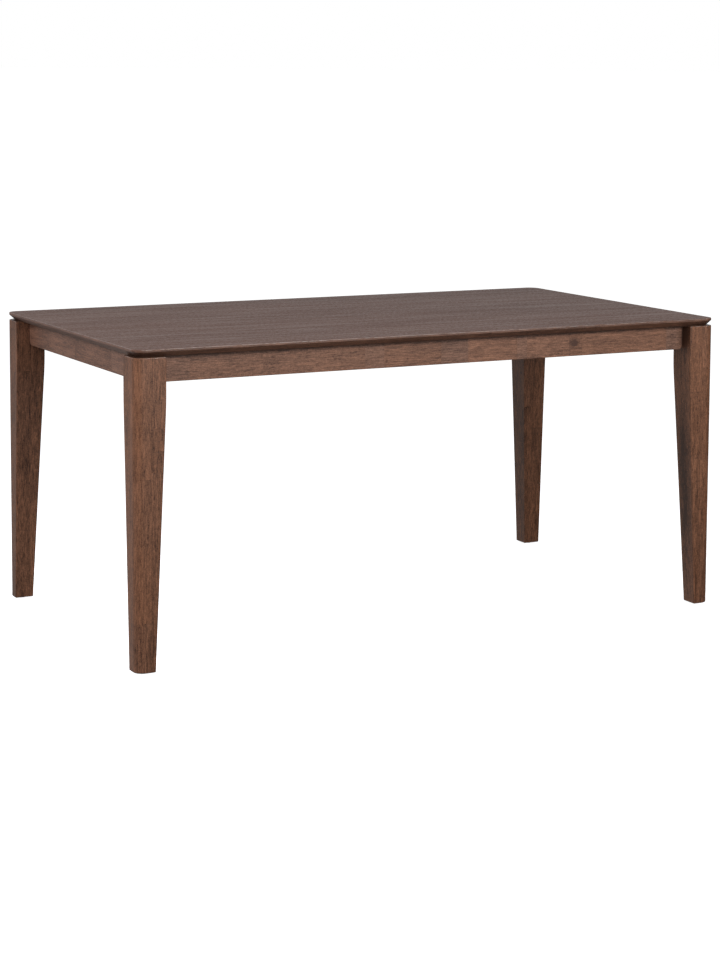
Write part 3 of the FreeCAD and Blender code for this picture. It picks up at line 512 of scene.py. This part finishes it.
# Corner blocks. Each stands across the corner between two aprons, screwed to both, with two holes
# for the hanger bolts. They are plain planed hardwood, left unstained.
PLAIN_DARK, PLAIN_LIGHT, PLAIN_GLOSS = (0.16, 0.075, 0.035, 1.0), (0.42, 0.25, 0.135, 1.0), 0.6
PLAIN_SPAN, PLAIN_ROWS = (-1.0, 1.0), (((-1.0, 0.55, 0.0),),)
plain_wood = jointed_wood(
    "plain_wood", 1, PLAIN_SPAN, PLAIN_ROWS, PLAIN_DARK, PLAIN_LIGHT, gloss=PLAIN_GLOSS
)
for corner in LEGS:
    dress(f"{corner}_corner_block", plain_wood)
dress("corner_block_screws", zinc_steel)

# Dowels. Plain round pins of light hardwood, glued into the ends of the aprons and of the cross
# rail, where they keep those ends in place.
DOWEL_DARK, DOWEL_LIGHT = (0.30, 0.19, 0.11, 1.0), (0.62, 0.45, 0.29, 1.0)
dowel_wood = jointed_wood(
    "dowel_wood", 0, PLAIN_SPAN, PLAIN_ROWS, DOWEL_DARK, DOWEL_LIGHT, gloss=PLAIN_GLOSS
)
dress("apron_dowels", dowel_wood)
dress("cross_rail_dowels", dowel_wood)

# The cross rail stands between the long aprons under the middle of the top, and three long screws
# go up through it into the top.
dress("cross_rail", plain_wood)
dress("cross_rail_screws", zinc_steel)

# The top's core is a panel of pressed wood fibres and chips, closed in on all sides by the lippings
# and the two veneers.
BOARD_DARK, BOARD_LIGHT, BOARD_RELIEF = (0.36, 0.25, 0.15, 1.0), (0.60, 0.46, 0.31, 1.0), 0.0002
CHIP_CELLS, DUST_CELLS = (260.0, 260.0, 700.0), (1400.0, 1400.0, 1400.0)
board = Finish("core_board")
chips = board.noise(board.place, CHIP_CELLS, 3.0, 0.6)
dust = board.noise(board.place, DUST_CELLS)
board_colour = board.mixed(chips, BOARD_DARK, BOARD_LIGHT)
dress("top_core_panel", board.close(board_colour, 0.7 + dust * 0.15, chips + dust * 0.5, BOARD_RELIEF))

# Four lippings. Solid strips glued around the core and mitred at the corners. They carry the upright
# rim and the long bevel under it, and the top's rounded corners. Their upper arris is eased.
TOP_HALF_X, TOP_HALF_Y, TOP_LEVEL = 0.800, 0.450, 0.750
VENEER = 0.0006
UNDERSIDE = 0.731
RIM_HEIGHT, BEVEL_INSET = 0.006, 0.014
PLAN_ROUND, LIPPING_WIDTH = 0.028, 0.050
TOP_ARRIS, RIM_ARRIS = 0.0015, 0.0008
LIP_DARK, LIP_LIGHT = (0.046, 0.019, 0.011, 1.0), (0.200, 0.095, 0.058, 1.0)
# Painted light: the short lippings are coloured lighter and greyer than the long ones, for the light that
# reaches the bevel at the left end.
SHORT_LIP_PAINTED_LIGHT = (0.225, 0.112, 0.074, 1.0)


def corner_place(inset, angle, half_x, half_y):
    """A point of the top's plan outline, inside it by an inset: the centre of the corner's circle, at
    the inset plus the circle's radius from both edges, plus that radius along the angle. Past the
    plan rounding the radius is nothing and the corner is sharp."""
    radius = np.clip(PLAN_ROUND - inset, 0.0, None)
    x = half_x - inset - radius + radius * np.cos(angle)
    y = half_y - inset - radius + radius * np.sin(angle)
    return x, y


def lipping_section():
    """The lipping's outline as (inset from the top's edge, level): from the veneer's edge over the
    eased arris, down the rim, round into the bevel, in under the top and back up inside."""
    start = math.acos((TOP_ARRIS - VENEER) / TOP_ARRIS)
    over = np.linspace(math.pi / 2 - start, 0.0, 6)
    arris_inset = TOP_ARRIS * (1.0 - np.cos(over))
    arris_level = TOP_LEVEL - TOP_ARRIS + TOP_ARRIS * np.sin(over)
    slope = math.atan2(BEVEL_INSET, TOP_LEVEL - UNDERSIDE - RIM_HEIGHT)
    tangent = RIM_ARRIS * math.tan(slope / 2)
    turn = np.linspace(0.0, slope, 5)
    rim_inset = RIM_ARRIS * (1.0 - np.cos(turn))
    rim_level = TOP_LEVEL - RIM_HEIGHT + tangent - RIM_ARRIS * np.sin(turn)
    low = UNDERSIDE + VENEER
    bevel_end = BEVEL_INSET - VENEER * math.tan(slope)
    inset = np.concatenate([arris_inset, rim_inset, [bevel_end, LIPPING_WIDTH, LIPPING_WIDTH]])
    level = np.concatenate([arris_level, rim_level, [low, low, TOP_LEVEL - VENEER]])
    return inset, level


def lipping_rings(run, way):
    """Carry the section from one mitre to the other: half a corner, the straight, half a corner."""
    inset, level = lipping_section()
    inset = inset[None, :]
    half_turn = np.linspace(0.0, math.pi / 4, 8)[:, None]
    near_x, near_y = corner_place(inset, math.pi / 4 + half_turn, TOP_HALF_X, TOP_HALF_Y)
    if run == 1:
        near_x, near_y = corner_place(inset, math.pi / 4 - half_turn, TOP_HALF_X, TOP_HALF_Y)
    if run == 0:
        x, y = np.vstack([near_x, -near_x[::-1]]), np.vstack([near_y, near_y[::-1]]) * way
    else:
        x, y = np.vstack([near_x, near_x[::-1]]) * way, np.vstack([near_y, -near_y[::-1]])
    return np.stack([x, y, np.broadcast_to(level[None, :], x.shape)], -1)


# Painted shade: a dark patch on the bevel over each leg, where the leg's top shuts out the light from below.
LIP_PAINTED_SHADE_SPOTS = [((x, y, 0.728), (0.100, 0.060, 0.022), 1.1) for x in (-0.775, 0.775) for y in (-0.425, 0.425)]
LONG_LIP_ROWS = (((-0.82, 0.50, 0.05), (-0.420, 0.54, 0.0), (0.130, 0.47, 0.05), (0.520, 0.52, 0.0)),)
SHORT_LIP_ROWS = (((-0.46, 0.52, 0.05), (0.090, 0.47, 0.0)),)
# Painted shade: the lower part of each bevel darkens toward its foot, less on the short sides.
LONG_LIP_PAINTED_SHADE, SHORT_LIP_PAINTED_SHADE = (0.7345, 0.7318, 0.45), (0.7345, 0.7315, 0.30)
for run, span, rows, light, painted_shade_levels, shine, sides in (
    (0, (-0.82, 0.82), LONG_LIP_ROWS, LIP_LIGHT, LONG_LIP_PAINTED_SHADE, 0.50, ("front", "back")),
    (1, (-0.46, 0.46), SHORT_LIP_ROWS, SHORT_LIP_PAINTED_LIGHT, SHORT_LIP_PAINTED_SHADE, 0.55, ("left", "right")),
):
    lip_material = jointed_wood(
        f"top_lipping_{run}", run, span, rows, LIP_DARK, light, None, LIP_PAINTED_SHADE_SPOTS,
        glossy_level=TOP_LEVEL - TOP_ARRIS, painted_shade_levels=painted_shade_levels, shine=shine
    )
    for way, side in zip((-1, 1), sides):
        lipping = skin(f"lipping_{side}", lipping_rings(run, way))
        settle(lipping, f"{side}_lipping", lip_material)

# The face veneer is pressed over the core and the lippings, with its fine straight grain along the
# table, and stained a greyer brown than the solid wood. Its edge is eased with the lippings' arris.
# Its thin lacquer lies unevenly over the grain and thickest on the eased edge.
VENEER_DARK, VENEER_LIGHT = (0.066, 0.0178, 0.0060, 1.0), (0.148, 0.0522, 0.0265, 1.0)
VENEER_SPECKLE, VENEER_RELIEF, VENEER_SHINE = 2.4, 0.0002, 0.51
VENEER_DRIFT_CELLS, VENEER_DRIFT = (0.9, 5.0, 5.0), 0.03
LINE_CELLS, FLECK_CELLS = (3.2, 62.0, 62.0), (120.0, 200.0, 200.0)
SLOW_CELLS, SLICED_PORE_CELLS = (1.6, 6.0, 6.0), (45.0, 1600.0, 1600.0)
EDGE_LACQUER = (TOP_LEVEL - 0.0001, TOP_LEVEL - 0.0003)


def veneer_rings():
    """Rings from the veneer's glued side up: the plan outline, drawn in by the arris's circle."""
    over = np.linspace(math.asin((TOP_ARRIS - VENEER) / TOP_ARRIS), math.pi / 2, 5)
    inset = (TOP_ARRIS * (1.0 - np.cos(over)))[:, None]
    level = TOP_LEVEL - TOP_ARRIS + TOP_ARRIS * np.sin(over)
    angle = np.linspace(0.0, math.pi / 2, 15)[None, :]
    x, y = corner_place(inset, angle, TOP_HALF_X, TOP_HALF_Y)
    x = np.hstack([x, -x[:, ::-1], -x, x[:, ::-1]])
    y = np.hstack([y, y[:, ::-1], -y, -y[:, ::-1]])
    return np.stack([x, y, np.broadcast_to(level[:, None], x.shape)], -1)


def veneer_finish(name, dark, light, speckle, streaks=(), lacquered=False):
    """Straight-grained sliced veneer: long fine lines, slow bands across, and short open pores."""
    finish = Finish(name)
    drift = finish.noise(finish.place, VENEER_DRIFT_CELLS)
    bend = finish.node("ShaderNodeCombineXYZ", {}, {1: drift * VENEER_DRIFT})
    place = finish.vector("ADD", finish.place, bend)
    lines = finish.noise(place, LINE_CELLS, 4.0, 0.75)
    flecks = finish.noise(place, FLECK_CELLS, 2.0, 0.7)
    bands = finish.noise(place, SLOW_CELLS, 3.0, 0.6)
    pores = finish.noise(place, SLICED_PORE_CELLS, 1.0).rise(0.60, 0.72)
    share = 0.50 + (lines - 0.5) * 1.2 + (flecks - 0.5) * speckle + (bands - 0.5) * 0.5 - pores * 0.2
    for middle, reach, depth in streaks:
        share = share - finish.near(middle, reach) * depth
    colour = finish.mixed(finish.clamped(share), dark, light)
    height = lines * 0.25 + flecks * 0.3 - pores * 0.7
    roughness = 0.43 - (lines - 0.5) * 0.3 - (flecks - 0.5) * 0.6 + pores * 0.15
    if lacquered:
        sheen = 0.06 + (lines - 0.5) + (flecks - 0.5) * 0.5
        finish.lacquer(finish.clamped(sheen + finish.z.rise(*EDGE_LACQUER)))
    return finish.close(colour, roughness, height, VENEER_RELIEF, VENEER_SHINE)


VENEER_STREAKS = (
    ((-0.28, -0.118, 0.75), (0.26, 0.004, 0.01), 0.16),
    ((-0.41, 0.122, 0.75), (0.42, 0.005, 0.01), 0.16),
    ((-0.20, -0.410, 0.75), (0.12, 0.004, 0.01), 0.16),
)
face_material = veneer_finish(
    "face_veneer", VENEER_DARK, VENEER_LIGHT, VENEER_SPECKLE, VENEER_STREAKS, lacquered=True
)
settle(skin("veneer_face", veneer_rings()), "face_veneer", face_material)

# The backing veneer, glued under the core, keeps the top flat. It is a plainer leaf with the same
# straight grain, stained but not lacquered.
BACKING_DARK, BACKING_LIGHT = (0.070, 0.035, 0.022, 1.0), (0.200, 0.115, 0.075, 1.0)
BACKING_SPECKLE = 0.9
dress("backing_veneer", veneer_finish("backing_veneer", BACKING_DARK, BACKING_LIGHT, BACKING_SPECKLE))

# Twelve bent steel angles hold the top to the aprons. Each has one screw into the apron and one up
# into the top.
dress("top_brackets", zinc_steel)
dress("bracket_screws", zinc_steel)

# Glides. A round moulded nylon pad is nailed under each foot, with the nail's head sunk in it.
GLIDE_DARK, GLIDE_LIGHT, GLIDE_RELIEF = (0.035, 0.033, 0.031, 1.0), (0.075, 0.070, 0.066, 1.0), 0.0001
SCUFF_CELLS = (900.0, 900.0, 900.0)
glide = Finish("glide_nylon")
scuff = glide.noise(glide.place, SCUFF_CELLS, 3.0, 0.6)
glide_colour = glide.mixed(scuff, GLIDE_DARK, GLIDE_LIGHT)
dress("foot_glides", glide.close(glide_colour, 0.45 + scuff * 0.2, scuff, GLIDE_RELIEF))
dress("glide_nails", zinc_steel)

# The stage: a plain white floor, so large that its end is out of sight.
FLOOR_REACH = 400.0
FLOOR_COLOUR, FLOOR_GLOW = (0.93, 0.93, 0.93, 1.0), 0.85
MOTTLE_CELLS = (3.0, 3.0, 3.0)
floor_mesh = bpy.data.meshes.new("floor")
floor_corners = [(x * FLOOR_REACH, y * FLOOR_REACH, 0.0) for x, y in ((-1, -1), (1, -1), (1, 1), (-1, 1))]
floor_mesh.from_pydata(floor_corners, [], [(0, 1, 2, 3)])
floor_finish = Finish("floor")
mottle = floor_finish.noise(floor_finish.place, MOTTLE_CELLS)
floor_finish.shader.inputs["Emission Color"].default_value = (1.0, 1.0, 1.0, 1.0)
floor_finish.shader.inputs["Emission Strength"].default_value = FLOOR_GLOW
floor_mesh.materials.append(floor_finish.close(FLOOR_COLOUR, 0.9 + mottle * 0.05, mottle, 0.0, 0.0))
floor = bpy.data.objects.new("floor", floor_mesh)
bpy.context.scene.collection.objects.link(floor)
floor.visible_diffuse = False
floor.visible_glossy = False
floor.visible_shadow = False

# The light: a pale studio whose back wall and floor are its brightest parts, a wide soft box at the
# front, a smaller one at the left, and two faint ones, overhead and high behind. The left one gives
# no reflection, which would whiten the top when it is seen from the right end.
SKY_LIGHT, FRONT_LIGHT, BACK_LIGHT, BACK_RIGHT_LIGHT, HIGH_BACK_LIGHT = 0.14, 0.06, 0.08, 0.34, 0.4
GROUND_LIGHT, BACK_GROUND_LIGHT, LEFT_GROUND_LIGHT = 0.01, 0.42, 0.22
world = bpy.data.worlds.new("studio")
bpy.context.scene.world = world
world.use_nodes = True
sky = SignalTree(world.node_tree)
sky_x, sky_y, sky_z = sky.parts(sky.node("ShaderNodeTexCoord"))
toward_front = (sky_y * -1.0).math("MAXIMUM", 0.0)
toward_back = sky_y.math("MAXIMUM", 0.0)
toward_right = sky_x.math("MAXIMUM", 0.0)
toward_left = (sky_x * -1.0).math("MAXIMUM", 0.0)
behind = toward_right * BACK_RIGHT_LIGHT + BACK_LIGHT + sky_z * HIGH_BACK_LIGHT
upper = toward_front * FRONT_LIGHT + SKY_LIGHT + toward_back * behind
lower = toward_back * BACK_GROUND_LIGHT + GROUND_LIGHT + toward_left * LEFT_GROUND_LIGHT
is_camera_ray = sky.node("ShaderNodeLightPath")
glow = ((sky_z > 0.0) * (upper - lower) + lower).math("MAXIMUM", is_camera_ray)
backdrop = sky.tree.nodes["Background"]
backdrop.inputs["Color"].default_value = (1.0, 1.0, 1.0, 1.0)
sky.connect(backdrop.inputs["Strength"], glow)

SOFT_BOXES = (
    ("front_box", (0.3, -2.8, 1.45), (0.0, 0.0, 0.5), (3.8, 1.4), 78.0, (1.0, 1.0, 1.0), True),
    ("left_box", (-3.1, -0.6, 1.9), (-0.5, 0.0, 0.5), (1.6, 1.4), 63.0, (0.95, 1.0, 1.12), False),
    ("back_box", (-0.9, 4.0, 2.7), (-0.3, 0.0, 0.75), (2.6, 0.7), 5.0, (1.0, 1.0, 1.0), True),
    ("top_box", (0.1, 0.1, 3.2), (0.0, 0.0, 0.75), (2.6, 1.0), 14.0, (1.0, 1.0, 1.0), True),
)
for name, stand, aim, spread, power, tint, reflected in SOFT_BOXES:
    lamp = bpy.data.lights.new(name, "AREA")
    lamp.color = tint
    lamp.shape = "RECTANGLE"
    lamp.size, lamp.size_y = spread
    lamp.energy = power
    box = bpy.data.objects.new(name, lamp)
    box.visible_camera = False
    box.visible_glossy = reflected
    box.location = stand
    box.rotation_mode = "QUATERNION"
    box.rotation_quaternion = (Vector(aim) - Vector(stand)).to_track_quat("-Z", "Y")
    bpy.context.scene.collection.objects.link(box)

# The camera stands at the left of the front, a little above the table top. Its place, angles and
# lens were fitted to the edges of the top, the aprons and the legs.
CAMERA_PLACE = (-2.6991, -5.25977, 1.39675)
CAMERA_YAW, CAMERA_PITCH, CAMERA_ROLL = 28.51, -5.85, 0.44
SENSOR_WIDTH = 36.0
FOCAL_PIXELS = 2298.31
LENS_AXIS_PIXELS = (413.91, 299.26)
IMAGE_PIXELS = (720, 960)

yaw, pitch, roll = (math.radians(angle) for angle in (CAMERA_YAW, CAMERA_PITCH, CAMERA_ROLL))
ahead = Vector((math.sin(yaw) * math.cos(pitch), math.cos(yaw) * math.cos(pitch), math.sin(pitch)))
level_right = Vector((math.cos(yaw), -math.sin(yaw), 0.0))
level_up = level_right.cross(ahead)
right = level_right * math.cos(roll) + level_up * math.sin(roll)
up = level_up * math.cos(roll) - level_right * math.sin(roll)
long_side = max(IMAGE_PIXELS)
lens = bpy.data.cameras.new("camera")
lens.sensor_width = SENSOR_WIDTH
lens.lens = FOCAL_PIXELS * SENSOR_WIDTH / long_side
lens.shift_x = (IMAGE_PIXELS[0] / 2 - LENS_AXIS_PIXELS[0]) / long_side
lens.shift_y = (LENS_AXIS_PIXELS[1] - IMAGE_PIXELS[1] / 2) / long_side
camera = bpy.data.objects.new("camera", lens)
bpy.context.scene.collection.objects.link(camera)
camera.matrix_world = Matrix.Translation(CAMERA_PLACE) @ Matrix((right, up, -ahead)).transposed().to_4x4()
bpy.context.scene.camera = camera
bpy.context.scene.view_settings.view_transform = "Standard"
